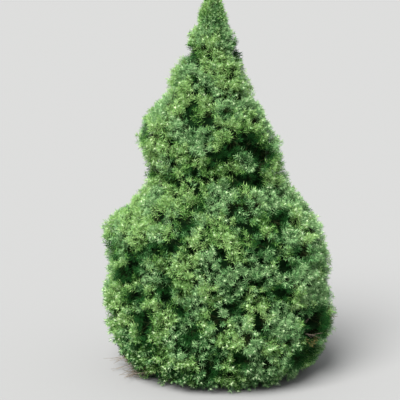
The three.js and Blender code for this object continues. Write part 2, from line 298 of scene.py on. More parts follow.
# Dark crevices between the lumps, as the pixels where the photo shows them, and how wide and deep they are
CREVICES = [
    (227, 112), (205, 118), (245, 135), (257, 152), (218, 160), (195, 172), (195, 205), (185, 222),
    (172, 244), (150, 252), (133, 260), (133, 295), (143, 325), (180, 310), (190, 335), (215, 318),
    (210, 370), (237, 205), (250, 228), (263, 245), (280, 222), (305, 253), (285, 265), (255, 282),
    (235, 307), (303, 356), (309, 355), (316, 354), (250, 141), (263, 157), (268, 150), (231, 146),
    (120, 275), (262, 330), (165, 290), (225, 262), (190, 25), (185, 51), (170, 62), (238, 49),
    (141, 131), (110, 248), (256, 96), (190, 110), (173, 180), (184, 222), (283, 293), (240, 360),
    (237, 178), (252, 181), (277, 217), (316, 320), (321, 327), (316, 335), (145, 171), (312, 327),
    (325, 335), (318, 312),
]
CREVICE_WIDTH = (13, 22)
CREVICE_DEPTH = 80
CREVICE_SHARE = 0.55
CREVICE_STRETCH = 0.45
CREVICE_RAGGED = 0.4
# The painted shade round a crevice, in shares of its width and depth: where it is full, and where it ends
SHADE_FULL = 0.9
SHADE_END = 2.1
SHADE_DEPTH = 1.5
# More on the other sides: their number, turns in degrees, and lowest, commonest and highest height
BACK_CREVICES = 52
BACK_TURNS = (-18, 198)
BACK_HEIGHTS = (60, 170, 1350)

# Hollows, as middle, radius, and the share of the shoots there that stay, all of them dry
HOLLOWS = [((386, -270, 230), 62, 0.05), ((282, -300, 45), 24, 0), ((282, -300, 85), 22, 0)]
# Places where some of the shoots have browned, as middle and radius
BROWNED = [
    ((462, -80, 245), 66), ((386, -270, 230), 76), ((-385, -110, 60), 60), ((-294, -241, 40), 42),
]
BROWNED_SHARE = 0.45
DRY_NEEDLES = 14
# Dead bare twigs at the foot on the left: number, turns in degrees, heights of foot and tip, and reach
DEAD_TWIGS = 34
DEAD_TURNS = (165, 218)
DEAD_FOOT = (25, 75)
DEAD_TIP = (5, 38)
DEAD_INSIDE = 70
DEAD_OUTSIDE = (5, 60)
DEAD_SCATTER = 16
DEAD_CROOK = 0.12
DEAD_RADII = (0.9, 0.45)
DEAD_THICKER = 1.4
# Those inside the first hollow, from deep in it towards its middle
HOLLOW_TWIGS = 7
HOLLOW_FEET = (0.72, 0.72, 1)
HOLLOW_TIPS = (0.87, 0.87, 1)
HOLLOW_SPREAD = 0.36
SIDE_TWIGS = 3
SIDE_TWIG_STATIONS = (2, 5)
SIDE_TWIG_SHARE = 0.35
SIDE_TWIG_SCATTER = 0.16

# Slow waves that carry the hue over the crown: a direction, a length in millimetres and a start
DRIFT_WAVES = [
    ((0.8, 0.5, 0.33), 170, 0.4), ((-0.5, 0.75, 0.43), 230, 2.2), ((0.3, -0.4, 0.87), 150, 4.1),
    ((0.75, -0.6, -0.28), 120, 1.3),
]
# The shares of shoots up to which they get the painted deep shade, the painted shade and the middle tone
LEVEL_SHARES = [0.25, 0.46, 0.76]
# The odds that a needle is one level darker than its shoot, the same, or one lighter
NEEDLE_STEPS = [0.28, 0.42, 0.3]
LIGHT_SCATTER = 0.05
LIGHT_DRIFT = 0.1
# Painted light and shade on each lump: lighter on top, darker underneath
LUMP_LIGHT = 0.2
# Painted shade: darker towards the ground, up to LOW_HEIGHT
LOW_SHADE = 0.33
LOW_HEIGHT = 420
CROWN_HALF_WIDTH = 480
# Painted light from the left: lighter on the left high up and darker on the left low down, the right the
# other way round
LEFT_LIGHT = 0.26
LEFT_LIT_ABOVE = 500
LEFT_LIT_RISE = 400
# A warmer green on the lit left and towards the lit top is a painted tint of light; the drift and scatter of
# hue are the needles' own
WARM_LIT_LEFT = 0.3
WARM_LIT_TOP = 0.3
WARM_SCATTER = 0.2
# The colours of each material, dark and light
COLOURS = {
    # The needles: lit and shaded copies of one green, from the painted deep shade to the painted light
    "needles_painted_deep_shade": ((0.005, 0.036, 0.006), (0.014, 0.074, 0.014)),
    "needles_cool_painted_shade": ((0.031, 0.098, 0.028), (0.061, 0.174, 0.052)),
    "needles_warm_painted_shade": ((0.044, 0.129, 0.020), (0.084, 0.214, 0.037)),
    "needles_cool_mid": ((0.092, 0.224, 0.075), (0.156, 0.340, 0.126)),
    "needles_warm_mid": ((0.112, 0.252, 0.060), (0.190, 0.384, 0.108)),
    "needles_cool_painted_light": ((0.166, 0.320, 0.126), (0.270, 0.450, 0.204)),
    "needles_warm_painted_light": ((0.212, 0.376, 0.112), (0.336, 0.520, 0.192)),
    "pale_tips": ((0.44, 0.60, 0.32), (0.78, 0.90, 0.62)),
    "green_tips": ((0.23, 0.395, 0.16), (0.40, 0.58, 0.30)),
    "dry_needles": ((0.070, 0.058, 0.018), (0.20, 0.165, 0.062)),
    # Near-black painted shade inside the crown: the deep needles, and the cores and heart
    "deep_needles": ((0.003, 0.022, 0.004), (0.012, 0.060, 0.012)),
    "inner_foliage_painted_shade": ((0.001, 0.006, 0.001), (0.003, 0.016, 0.003)),
    "bark": ((0.032, 0.024, 0.016), (0.10, 0.075, 0.052)),
    # The bark of stems and twigs, darkened to near black-green: painted shade inside the crown
    "young_bark_painted_shade": ((0.008, 0.014, 0.004), (0.024, 0.034, 0.011)),
    "dead_bark": ((0.13, 0.108, 0.082), (0.29, 0.248, 0.195)),
}
BARK_GRAIN = 90
TWIG_GRAIN = 200

# The floor's half size in metres, the light and the camera
FLOOR_SIZE = 3000
FLOOR_COLOUR = (0.282, 0.286, 0.290, 1)
SKY_COLOUR = (0.93, 0.935, 0.93, 1)
SKY_STRENGTH = 0.78
KEY_FROM = (-1.7, -3.2, 4.2)
KEY_STRENGTH = 7.7
KEY_SPREAD = 38
KEY_COLOUR = (1.0, 0.98, 0.95)
CAMERA_PLACE = (-0.077, -4.8, 1.5)
CAMERA_TILT = 9.46
LENS = 108
SENSOR = 36
PICTURE_SIZE = 400
SIGHT_STEPS = (4000, 5400, 3)


def unit(vectors):
    return vectors / np.linalg.norm(vectors, axis=-1, keepdims=True)


def mix(a, b, share):
    return a + (b - a) * share


def chance(a, b, c):
    """A number from 0 to 1 that depends only on the three that it is given."""
    s = math.sin(a * 127.1 + b * 311.7 + c * 74.7) * 43758.5453
    return s - math.floor(s)


def scatter(a, b, c):
    return 2 * chance(a, b, c) - 1


def crown_reach(height, turn):
    """How far the crown reaches from the trunk's line, at a height and in a direction."""
    left = np.interp(height, *zip(*LEFT_OUTLINE))
    right = np.interp(height, *zip(*RIGHT_OUTLINE))
    return mix(left, right, 0.5 + 0.5 * np.cos(turn))


def trunk_line(height):
    share = np.asarray(height, float) / TREE_HEIGHT
    bow = TRUNK_BOW * np.sin(2 * math.pi * share)
    return np.stack([TRUNK_LEAN[0] * share + bow, TRUNK_LEAN[1] * share, share * TREE_HEIGHT], axis=-1)


def trunk_radius(height, turn):
    taper = mix(TRUNK_FOOT_RADIUS, TRUNK_TOP_RADIUS, height / TRUNK_TOP)
    foot = np.exp(-height / FLARE_HEIGHT)
    ridges = 1 + FLARE_RIDGE_DEPTH * foot * np.cos(FLARE_RIDGES * turn + FLARE_RIDGE_TURN)
    return (taper + FLARE * foot) * ridges


class Lobe:
    """One mass of foliage: where it is, its axes and half sizes, and the planes that bound its space."""

    def __init__(self, t, tier, i):
        self.tier = tier
        self.key = 10 * t + i
        self.turn = math.radians(tier.first + (360 / tier.lobes) * (i + TURN_SCATTER * scatter(t, i, 1)))
        height = tier.height + tier.tilt * math.cos(self.turn) + HEIGHT_SCATTER * scatter(t, i, 2)
        rise = math.radians(tier.rise)
        self.outward = np.array([math.cos(self.turn), math.sin(self.turn), 0])
        self.axis = self.outward * math.cos(rise) + UP * math.sin(rise)
        side = np.array([-math.sin(self.turn), math.cos(self.turn), 0])
        self.axes = np.array([self.axis, side, np.cross(self.axis, side)])
        level = math.hypot(tier.length * math.cos(rise), tier.depth * math.sin(rise))
        reach = crown_reach(height, self.turn)
        self.distance = reach - level
        width = WIDTH_SHARE * math.pi * max(self.distance, level) / tier.lobes
        self.half = np.array([tier.length, min(width, WIDEST_SHARE * reach), tier.depth])
        self.middle = trunk_line(height) + self.outward * self.distance
        self.fineness = min(max(tier.depth / FULL_LOBE, SMALLEST_SPRAY), 1)

    def bound(self, lobes):
        """Finds the planes of the lobe's space, as normals and the room to each from the lobe's middle."""
        normals = []
        rooms = []
        for other in lobes:
            if other is self:
                continue
            way = other.middle - self.middle
            distance = np.linalg.norm(way)
            size = np.cbrt(self.half.prod())
            other_size = np.cbrt(other.half.prod())
            shift = (size**2 - other_size**2) / (2 * distance**2)
            normals.append(way / distance)
            rooms.append((0.5 + np.clip(shift, -MOST_SHIFT, MOST_SHIFT)) * distance - SPACE_CLEAR)
        low = max(0, self.middle[2] - self.half[2])
        normals += [-UP, -self.outward]
        rooms += [self.middle[2] - GROUND_CLEAR, self.distance - TRUNK_CLEAR - trunk_radius(low, self.turn)]
        self.normals = np.array(normals)
        self.rooms = np.array(rooms)

    def share_inside(self, points):
        """How much of the way from the middle to each point stays in the lobe's space."""
        steps = (points - self.middle) @ self.normals.T
        shares = np.where(steps > 0, self.rooms / np.maximum(steps, 1e-9), np.inf)
        return shares.min(axis=-1)

    def share_in_crown(self, points, inset):
        """The same, but at most 1, and no further than the crown's outline less an inset."""
        share = np.minimum(1, self.share_inside(points))
        for _ in range(OUTLINE_STEPS):
            p = mix(self.middle, points, share[:, None])
            fits = (depth_in_crown(p) > inset) & (p[:, 2] + 0.5 * inset < TREE_HEIGHT)
            share = np.where(fits, share, share * OUTLINE_STEP)
        return share

    def on_surface(self, directions, share):
        return self.middle + (directions * self.half * np.asarray(share)[..., None]) @ self.axes


def from_trunk(points):
    """The level way to each point from the trunk's line."""
    way = points - trunk_line(points[:, 2])
    way[:, 2] = 0
    return way


def depth_in_crown(points):
    """How far each point lies inside the crown's outline, level from the trunk's line."""
    way = from_trunk(points)
    return crown_reach(points[:, 2], np.arctan2(way[:, 1], way[:, 0])) - np.hypot(way[:, 0], way[:, 1])


def depth_in_corners(points):
    """How far each point lies inside the leader's point and the blunt edge of the low part's top."""
    way = from_trunk(points)
    away = np.hypot(way[:, 0], way[:, 1])
    height = points[:, 2]
    spire = np.where(height > LEADER_FOOT, SPIRE_SLOPE * (SPIRE_TOP - height) - away, np.inf)
    edge = np.where(height < BLUNT_BELOW, BLUNT_SUM - height - away, np.inf)
    return np.minimum(spire, edge)


def depth_to_open(points):
    """How far each point lies inside the crown's outline, level or as seen from a little above."""
    return np.minimum(depth_in_crown(points), depth_in_crown(points + SEEN_ABOVE * UP))


def even_directions(count, first_turn):
    """Directions spread evenly over a ball by the golden angle, from its front to its back."""
    i = np.arange(count)
    x = 1 - (2 * i + 1) / count
    turn = GOLDEN_TURN * i + first_turn
    r = np.sqrt(1 - x * x)
    return np.stack([x, r * np.cos(turn), r * np.sin(turn)], axis=1)


def spray_count(lobe):
    a, b, c = lobe.half**ELLIPSOID_POWER
    area = 4 * math.pi * ((a * b + a * c + b * c) / 3) ** (1 / ELLIPSOID_POWER)
    return round(area / (SPRAY_CROWDING * (SPRAY_SPACING * lobe.fineness) ** 2))


def lay_lobes():
    lobes = [Lobe(t, tier, i) for t, tier in enumerate(TIERS) for i in range(tier.lobes)]
    for lobe in lobes:
        lobe.bound(lobes)
    return lobes


def grow_clumps(lobes):
    """Each clump as a row: centre, radius, the tip of its twig and the foot of its twig."""
    rows = []
    for lobe in lobes:
        count = round(spray_count(lobe) * SPRAY_CROWDING * (SPRAY_SPACING / CLUMP_SPACING) ** 2)
        directions = even_directions(count, 2 * math.pi * chance(lobe.key, 0, 4))
        directions = unit(directions + random.normal(scale=CLUMP_TURN_SCATTER, size=directions.shape))
        furthest = lobe.on_surface(directions, np.full(count, LOBE_SWELL))
        share = lobe.share_in_crown(furthest, 0)
        sink = 1 - CLUMP_SINK * random.uniform(0, 1, count)
        sink -= EDGE_SINK * np.clip(1 - lobe.share_inside(furthest), 0, EDGE_WIDTH) / EDGE_WIDTH
        tips = mix(lobe.middle, furthest, (share * sink)[:, None])
        keep = (directions[:, 0] > CLUMP_BACK) & (share > CLUMP_REACH)
        tips = tips[keep]
        feet = lobe.middle + np.outer(STEM_IN_CORE * directions[keep, 0] * lobe.half[0], lobe.axis)
        radii = CLUMP_RADIUS * lobe.fineness * (1 + CLUMP_SCATTER * random.uniform(-1, 1, len(tips)))
        centres = tips - unit(tips - lobe.middle) * radii[:, None]
        rows.append(np.hstack([centres, radii[:, None], tips, feet]))
    return np.vstack(rows)


def fitted(clumps):
    """The clumps, with those that stand too far out of the crown's outline made smaller."""
    ways = even_directions(FIT_DIRECTIONS, 0)
    for _ in range(FIT_STEPS):
        surface = clumps[:, None, :3] + ways * clumps[:, 3, None, None]
        depths = depth_in_crown(surface.reshape(-1, 3)).reshape(len(clumps), -1)
        clumps[:, 3] *= np.where(depths.min(axis=1) < -MOST_OUT, FIT_SHRINK, 1)
    return clumps


def nearest(middles, point):
    """The one of the middles that lies nearest to a point."""
    return middles[np.linalg.norm(middles - point, axis=1).argmin()]


def fill_gaps(lobes, clumps):
    """The clumps with more rows like them: in rings where none is near, at the lumps and up the leader."""
    rows = list(clumps)
    middles = np.array([lobe.middle for lobe in lobes])
    rings = [(height, FILL_DEPTH, FILL_GAP) for height in np.arange(*FILL_HEIGHTS, FILL_SPACING)]
    rings += [(height, depth, LEDGE_GAP) for height, depth in LEDGE_RINGS]
    for height, depth, least_gap in rings:
        count = max(FEWEST_IN_RING, round(2 * math.pi * crown_reach(height, 0) / FILL_SPACING))
        for turn in 2 * math.pi * (np.arange(count) + random.uniform(0, 1, count)) / count:
            outward = np.array([math.cos(turn), math.sin(turn), 0])
            reach = crown_reach(height, turn)
            size = min(reach / FULL_REACH, 1)
            point = trunk_line(height) + outward * (reach - depth * size)
            taken = np.array(rows)
            if (np.linalg.norm(taken[:, :3] - point, axis=1) - taken[:, 3]).min() < least_gap:
                continue
            radius = FILL_RADIUS * max(size, SMALLEST_SPRAY) * random.uniform(*FILL_SIZES)
            centre = point - FILL_SET_BACK * radius * outward
            rows.append(np.hstack([centre, radius, point, nearest(middles, point)]))
    for pixel in LUMPS:
        start, way = line_of_sight(*pixel)
        point = start + LUMP_DEPTH * way
        rows.append(np.hstack([point, LUMP_RADIUS, point, nearest(middles, point)]))
    for height, radius in LEADER_CLUMPS:
        top = trunk_line(height)
        rows.append(np.hstack([top, radius, top, trunk_line(height - radius)]))
    return np.array(rows)


@dataclass
class Shoots:
    """Arrays with one row a shoot: tip, growing direction, length, how open its place is, and its clump."""

    tips: np.ndarray
    ways: np.ndarray
    lengths: np.ndarray
    openness: np.ndarray
    clump: np.ndarray

    def pick(self, chosen):
        return Shoots(*(getattr(self, key)[chosen] for key in self.__dataclass_fields__))

    def with_more(self, more):
        keys = self.__dataclass_fields__
        return Shoots(*(np.concatenate([getattr(self, key), getattr(more, key)]) for key in keys))


def turned(directions):
    """The directions under one random turn of space."""
    basis, _ = np.linalg.qr(random.normal(size=(3, 3)))
    return directions @ basis


def gap_to_clumps(points, own, clumps):
    """How far each point is outside every clump but its own. Inside one it is negative."""
    gaps = np.full(len(points), np.inf)
    for j, row in enumerate(clumps):
        away = np.linalg.norm(points - row[:3], axis=1) - row[3]
        gaps = np.where(own == j, gaps, np.minimum(gaps, away))
    return gaps


def openness_of(points, own, clumps):
    """The share of outward directions in which no other clump stands before each point."""
    outward = unit(from_trunk(points))
    side = np.cross(UP, outward)
    free = np.zeros(len(points))
    for level, up in VIEW_WAYS:
        direction = unit(outward + side * level + UP * up)
        clear = np.ones(len(points), bool)
        for step in VIEW_STEPS:
            clear &= gap_to_clumps(points + direction * step, own, clumps) > VIEW_GAP
        free += clear
    return free / len(VIEW_WAYS)


def grow_tufts(clumps):
    """The open points over the clumps where tufts grow: their places, normals, clumps and openness."""
    found = []
    for i, row in enumerate(clumps):
        count = round(4 * math.pi * row[3] ** 2 / TUFT_SPACING**2)
        normals = turned(even_directions(count, 0))
        normals = unit(normals + random.normal(scale=TUFT_TURN_SCATTER, size=normals.shape))
        radii = row[3] + TUFT_RELIEF * random.uniform(*RELIEF_RANGE, count)
        found.append((row[:3] + normals * radii[:, None], normals, np.full(count, i)))
    points, normals, own = (np.concatenate(part) for part in zip(*found))
    keep = (depth_to_open(points) < DEEPEST_SHOOT) & (points[:, 2] > -TUFT_RELIEF)
    points, normals, own = points[keep], normals[keep], own[keep]
    keep = gap_to_clumps(points, own, clumps) > least_gaps(points, TUFT_HIDDEN)
    points, normals, own = points[keep], normals[keep], own[keep]
    openness = openness_of(points, own, clumps)
    keep = openness > LEAST_OPEN
    return points[keep], normals[keep], own[keep], openness[keep]


def least_gaps(points, below):
    """How deep in another clump a point may lie: so much on the crown, and deeper on the leader."""
    return np.where(points[:, 2] > LEADER_FOOT, LEADER_HIDDEN, below)


def drawn_in(points, amount):
    """The points, each moved level towards the trunk's line by its amount."""
    return points - unit(from_trunk(points)) * amount[:, None]


def grow_shoots(clumps):
    """Shoots that fan out of each tuft's root, outward and up."""
    points, normals, own, openness = grow_tufts(clumps)
    n = len(points)
    lift = TUFT_LIFT * np.clip((points[:, 2:] - LEVEL_BELOW) / LIFTED_ABOVE, LEAST_LIFT, 1)
    ways = unit(normals + lift * UP + TUFT_SCATTER * random.normal(size=normals.shape))
    roots = points - ways * TUFT_ROOT
    fan = SHOOT_FAN * random.normal(size=(n, SHOOTS_A_TUFT, 3))
    fan[:, 0] *= MIDDLE_FAN
    shoot_ways = unit(ways[:, None] + fan)
    reach = random.uniform(*SHOOT_REACH, (n, SHOOTS_A_TUFT))
    tips = (roots[:, None] + shoot_ways * reach[..., None]).reshape(-1, 3)
    shoot_ways = shoot_ways.reshape(-1, 3)
    own = np.repeat(own, SHOOTS_A_TUFT)
    inside = np.minimum(depth_in_crown(tips), depth_in_corners(tips))
    over = np.maximum(0, random.exponential(EDGE_RAGGED, len(tips)) - inside)
    tips = drawn_in(tips, over)
    gaps = gap_to_clumps(tips, own, clumps)
    lengths = random.uniform(*SHOOT_LENGTH, len(tips))
    keep = (gaps > least_gaps(tips, SHOOT_HIDDEN)) & (depth_to_open(tips) < DEEPEST_SHOOT)
    keep &= (over <= MOST_TRIM) & (tips[:, 2] > LOWEST_TIP) & (tips[:, 2] < TREE_HEIGHT)
    keep &= tips[:, 2] - shoot_ways[:, 2] * lengths > LOWEST_FOOT
    openness = mixed_openness(np.repeat(openness, SHOOTS_A_TUFT), gaps, depth_in_crown(tips))
    return Shoots(tips, shoot_ways, lengths, openness, own).pick(keep)


def mixed_openness(openness, gaps, depth):
    """How open each shoot's place is, from its tuft's openness, its gap to other clumps and its depth."""
    free = OPEN_GAP_SHARE * np.clip((gaps + OPEN_GAP_START) / OPEN_GAP_WIDTH, 0, 1)
    by_depth = np.clip(OPEN_AT_EDGE - depth / OPEN_DEPTH, LEAST_OPENNESS, 1)
    return (OPEN_WAYS_SHARE * openness + free) * by_depth


def outward_ways(turns):
    """Level directions, from their turns round the trunk."""
    return np.stack([np.cos(turns), np.sin(turns), np.zeros_like(turns)], axis=-1)


def leader_shoots(clump):
    """Shoots that rise round the leader and close up to its tip."""
    share = np.linspace(0, 1, LEADER_SHOOTS)
    outward = outward_ways(GOLDEN_TURN * np.arange(LEADER_SHOOTS))
    tips = trunk_line(mix(*LEADER_HEIGHTS, share)) + outward * mix(*LEADER_WIDTHS, share)[:, None]
    ways = unit(outward * mix(*LEADER_LEAN, share)[:, None] + UP)
    lengths = random.uniform(*SHOOT_LENGTH, LEADER_SHOOTS)
    openness = np.full(LEADER_SHOOTS, LEADER_OPENNESS)
    return Shoots(tips, ways, lengths, openness, np.full(LEADER_SHOOTS, clump))


def across(ways):
    """Two directions across each way."""
    reference = np.where(np.abs(ways[:, 2:]) > NEARLY_UPRIGHT, [1.0, 0, 0], UP)
    first = unit(np.cross(ways, reference))
    return first, np.cross(ways, first)


def copies(pattern, points_each, count):
    """The faces of several small meshes of one kind, from the faces of the first."""
    return (pattern[None] + points_each * np.arange(count)[:, None, None]).reshape(-1, 3)


def spikes(bases, ways, lengths, radius):
    """A three-sided spike at each base: four points and three faces each."""
    first, second = across(ways)
    corners = []
    for k in range(3):
        turn = 2 * math.pi * k / 3
        out = math.cos(turn) * first + math.sin(turn) * second
        corners.append(bases + out * radius)
    corners.append(bases + ways * lengths[:, None])
    return np.stack(corners, axis=1).reshape(-1, 3), copies(SPIKE_FACES, len(corners), len(bases))


def blades(bases, ways, lengths):
    """A needle at each base: two faces that meet in a fold along it."""
    count = len(bases)
    first, second = across(ways)
    roll = random.uniform(0, 2 * math.pi, count)[:, None]
    side = NEEDLE_WIDTH * (first * np.cos(roll) + second * np.sin(roll))
    middle = bases + ways * (WIDEST_AT * lengths)[:, None] + NEEDLE_FOLD * np.cross(ways, side)
    tips = bases + ways * lengths[:, None]
    points = np.stack([bases, middle - side, tips, middle + side], axis=1).reshape(-1, 3)
    return points, copies(BLADE_FACES, BLADE_POINTS, count)


def needle_rows(shoots, count, row, spread, lengths):
    """The bases, ways and lengths of needles set round each shoot by the golden angle."""
    shape = (len(shoots.tips), count)
    share = np.linspace(*row, count)[None, :] + random.uniform(-NEEDLE_SHIFT, NEEDLE_SHIFT, shape)
    turn = GOLDEN_TURN * np.arange(count)[None, :] + random.uniform(0, 2 * math.pi, (shape[0], 1))
    turn = turn + random.uniform(-NEEDLE_TURN, NEEDLE_TURN, shape)
    off = np.radians(mix(*spread, share) + random.uniform(-NEEDLE_TILT, NEEDLE_TILT, shape))
    side, over = across(shoots.ways)
    out = side[:, None] * np.cos(turn)[..., None] + over[:, None] * np.sin(turn)[..., None]
    ways = shoots.ways[:, None] * np.cos(off)[..., None] + out * np.sin(off)[..., None]
    feet = shoots.tips - shoots.ways * shoots.lengths[:, None]
    bases = feet[:, None] + shoots.ways[:, None] * (shoots.lengths[:, None] * share)[..., None]
    sizes = random.uniform(*lengths, shape)
    bases, ways, sizes = bases.reshape(-1, 3), ways.reshape(-1, 3), sizes.ravel()
    ways[:, 2] = np.maximum(ways[:, 2], (LOWEST_NEEDLE - bases[:, 2]) / sizes)
    return bases, ways, sizes


def needles(shoots, count=NEEDLES_A_SHOOT):
    return blades(*needle_rows(shoots, count, NEEDLE_ROW, NEEDLE_SPREAD, NEEDLE_LENGTH))


def fresh_tips(shoots):
    """A pale bud at each tip, and the short new needles round it."""
    new_needles = blades(*needle_rows(shoots, FRESH_NEEDLES, FRESH_ROW, FRESH_SPREAD, FRESH_LENGTH))
    bud_feet = shoots.tips - shoots.ways * BUD_LENGTH * BUD_SUNK
    buds = spikes(bud_feet, shoots.ways, np.full(len(bud_feet), BUD_LENGTH), BUD_RADIUS)
    return joined([new_needles, buds])


def joined(parts):
    """Several meshes as one."""
    points = np.vstack([p for p, _ in parts])
    starts = np.cumsum([0] + [len(p) for p, _ in parts[:-1]])
    faces = np.vstack([f + start for (_, f), start in zip(parts, starts)])
    return points, faces


def wall_faces(rings, sides):
    """The triangles between rings of points that follow each other."""
    ring = np.arange(sides)
    faces = []
    for s in range(rings - 1):
        a = s * sides + ring
        b = s * sides + (ring + 1) % sides
        faces.append(np.stack([a, b, b + sides], axis=1))
        faces.append(np.stack([a, b + sides, a + sides], axis=1))
    return np.vstack(faces)


def limbs(lines, radii, sides):
    """Round limbs along lines of points, all with as many points. Each ends in a closed tip."""
    count, stations, _ = lines.shape
    ways = unit(np.gradient(lines, axis=1)).reshape(-1, 3)
    first, _ = across(unit(lines[:, -1] - lines[:, 0]))
    first = np.repeat(first, stations, axis=0)
    first = unit(first - ways * (first * ways).sum(axis=1, keepdims=True))
    second = np.cross(ways, first)
    turn = 2 * math.pi * np.arange(sides) / sides
    out = np.cos(turn)[None, :, None] * first[:, None] + np.sin(turn)[None, :, None] * second[:, None]
    points = lines.reshape(-1, 1, 3) + out * radii.reshape(-1, 1, 1)
    ring = np.arange(sides)
    last = (stations - 1) * sides
    cap = np.stack([np.full(sides - 2, last), last + ring[1:-1], last + ring[2:]], axis=1)
    pattern = np.vstack([wall_faces(stations, sides), cap])
    return points.reshape(-1, 3), copies(pattern, stations * sides, count)


def tube(rings):
    """A closed tube through rings of points, of shape (rings, sides, 3), with a fan over each end."""
    count, sides, _ = rings.shape
    ring = np.arange(sides)
    following = (ring + 1) % sides
    ends = np.stack([rings[0].mean(axis=0), rings[-1].mean(axis=0)])
    low = count * sides
    last = low - sides
    low_fan = np.stack([np.full(sides, low), following, ring], axis=1)
    high_fan = np.stack([np.full(sides, low + 1), last + ring, last + following], axis=1)
    points = np.vstack([rings.reshape(-1, 3), ends])
    return points, np.vstack([wall_faces(count, sides), low_fan, high_fan])


def rings_round_trunk(heights, turns, radius):
    """Level rings of points round the trunk's line, from a column of heights and a row of turns."""
    return trunk_line(heights[:, 0])[:, None] + outward_ways(turns) * radius[..., None]


def bezier(a, b, c, stations):
    share = np.linspace(0, 1, stations)[:, None]
    return a * (1 - share) ** 2 + 2 * b * share * (1 - share) + c * share**2


def stem_lines(lobes):
    """Each lobe's stem, from its bough's tip or the trunk to well inside the lobe, with its radii."""
    lines = []
    radii = []
    for lobe in lobes:
        far = lobe.middle + lobe.axis * lobe.half[0] * STEM_IN_CORE
        if lobe.tier.boughs:
            start = lobe.middle - lobe.axis * STEM_SHARE * lobe.half[0]
        else:
            drop = min(STEM_DROP * lobe.distance, MOST_STEM_DROP * lobe.half[2])
            start = trunk_line(lobe.middle[2] - drop)
        bend = lobe.middle - lobe.axis * STEM_BEND * lobe.half[0]
        lines.append(bezier(start, bend, far, STEM_STATIONS))
        radii.append(np.linspace(lobe.tier.stem, STEM_TIP * lobe.tier.stem, STEM_STATIONS))
    return np.array(lines), np.array(radii)


def bough_lines(lobes):
    """Each bough, curving up from the trunk to its mass's stem, with its radii."""
    lines = []
    radii = []
    for lobe in lobes:
        if not lobe.tier.boughs:
            continue
        entry = lobe.middle - lobe.axis * STEM_SHARE * lobe.half[0]
        start = trunk_line(entry[2] - BOUGH_CLIMB)
        bend = entry - lobe.axis * BOUGH_BEND * np.linalg.norm(entry - start)
        lines.append(bezier(start, bend, entry, BOUGH_STATIONS))
        radii.append(lobe.tier.stem * np.linspace(*BOUGH_TAPER, BOUGH_STATIONS))
    return np.array(lines), np.array(radii)


def bark_relief(turn, along_limb):
    """Flaky scales: a height in millimetres from a direction round the trunk and a distance along it."""
    scales = np.zeros(np.broadcast(turn, along_limb).shape)
    for k, (across_count, pitch) in enumerate(BARK_WAVES):
        wander = BARK_WANDER * np.sin(along_limb / pitch * BARK_WANDER_PITCH + k)
        sway = BARK_SWAY * np.sin(BARK_SWAY_TURNS * turn + k)
        wave = np.sin(across_count * turn + BARK_PHASE * k + wander)
        wave = wave * np.sin(2 * math.pi * along_limb / pitch + sway)
        scales += (1 - np.abs(wave)) / (1 + BARK_FADE * k)
    return BARK_DEPTH * (scales - scales.mean())


def trunk_bark():
    """The trunk with its flare and its scaly bark."""
    heights = TRUNK_TOP * np.linspace(0, 1, TRUNK_RINGS)[:, None] ** TRUNK_RING_POWER
    turns = 2 * math.pi * np.arange(TRUNK_SIDES)[None, :] / TRUNK_SIDES
    thickness = np.clip(trunk_radius(heights, 0) / TRUNK_FOOT_RADIUS, THINNEST_BARK, 1)
    radius = trunk_radius(heights, turns) + bark_relief(turns, heights) * thickness
    return tube(rings_round_trunk(heights, turns, radius))


def icosphere(cuts):
    """The points and faces of a ball of even triangles."""
    mesh = bpy.data.meshes.new("ball")
    made = bmesh.new()
    bmesh.ops.create_icosphere(made, subdivisions=cuts, radius=1)
    made.to_mesh(mesh)
    made.free()
    points = np.array([v.co[:] for v in mesh.vertices])
    faces = np.array([p.vertices[:] for p in mesh.polygons])
    bpy.data.meshes.remove(mesh)
    return points, faces


def core_points(lobe, directions):
    """The surface of a lobe's core, which fills the lobe's space but lies well under its shoots."""
    whole = np.linalg.norm(lobe.on_surface(directions, 1) - lobe.middle, axis=1)
    points = lobe.on_surface(directions, 1 - np.minimum(DEEPEST_CORE, CORE_DEPTH / whole))
    share = np.minimum(CORE_FILL * lobe.share_inside(points), lobe.share_in_crown(points, CORE_DEPTH))
    share = share * random.uniform(1 - CORE_ROUGH, 1, len(points))
    return mix(lobe.middle, points, share[:, None])


def heart_rings():
    """The surface of the crown's shaded inside, between the lobes' cores and the trunk, rough all over."""
    heights = np.linspace(*HEART_HEIGHTS, HEART_RINGS)[:, None]
    turns = 2 * math.pi * np.arange(HEART_SIDES)[None, :] / HEART_SIDES
    outline = crown_reach(heights, turns)
    reach = outline - HEART_DEPTH * np.clip(outline / FULL_REACH, SHALLOWEST_HEART, 1)
    radius = np.maximum(reach, THINNEST_HEART) * (1 + HEART_ROUGH * random.uniform(-1, 1, reach.shape))
    return rings_round_trunk(heights, turns, radius)


def deep_shoots(lobes, cores, heart, shoots):
    """Shoots on the cores and on the heart, where none of the others covers them."""
    tree = KDTree(len(shoots.tips))
    for i, tip in enumerate(shoots.tips):
        tree.insert(tip, i)
    tree.balance()
    core_middles = [np.tile(lobe.middle, (len(core), 1)) for lobe, core in zip(lobes, cores)]
    heart_middles = np.repeat(heart.mean(axis=1), HEART_SIDES, axis=0)
    feet = np.vstack([*cores, heart.reshape(-1, 3)])
    outward = unit(feet - np.vstack([*core_middles, heart_middles]))
    feet, outward = feet[::DEEP_STEP], outward[::DEEP_STEP]
    ways = unit(outward + DEEP_SCATTER * random.normal(size=outward.shape))
    tips = feet + ways * DEEP_REACH
    bare = np.array([tree.find(tip)[2] > DEEP_BARE for tip in tips])
    bare &= (depth_in_crown(feet) < DEEPEST_SEEN) & (depth_in_crown(tips) > 0) & (tips[:, 2] > LOWEST_TIP)
    count = len(tips)
    lengths = np.full(count, DEEP_REACH)
    return Shoots(tips, ways, lengths, np.zeros(count), np.zeros(count, int)).pick(bare)


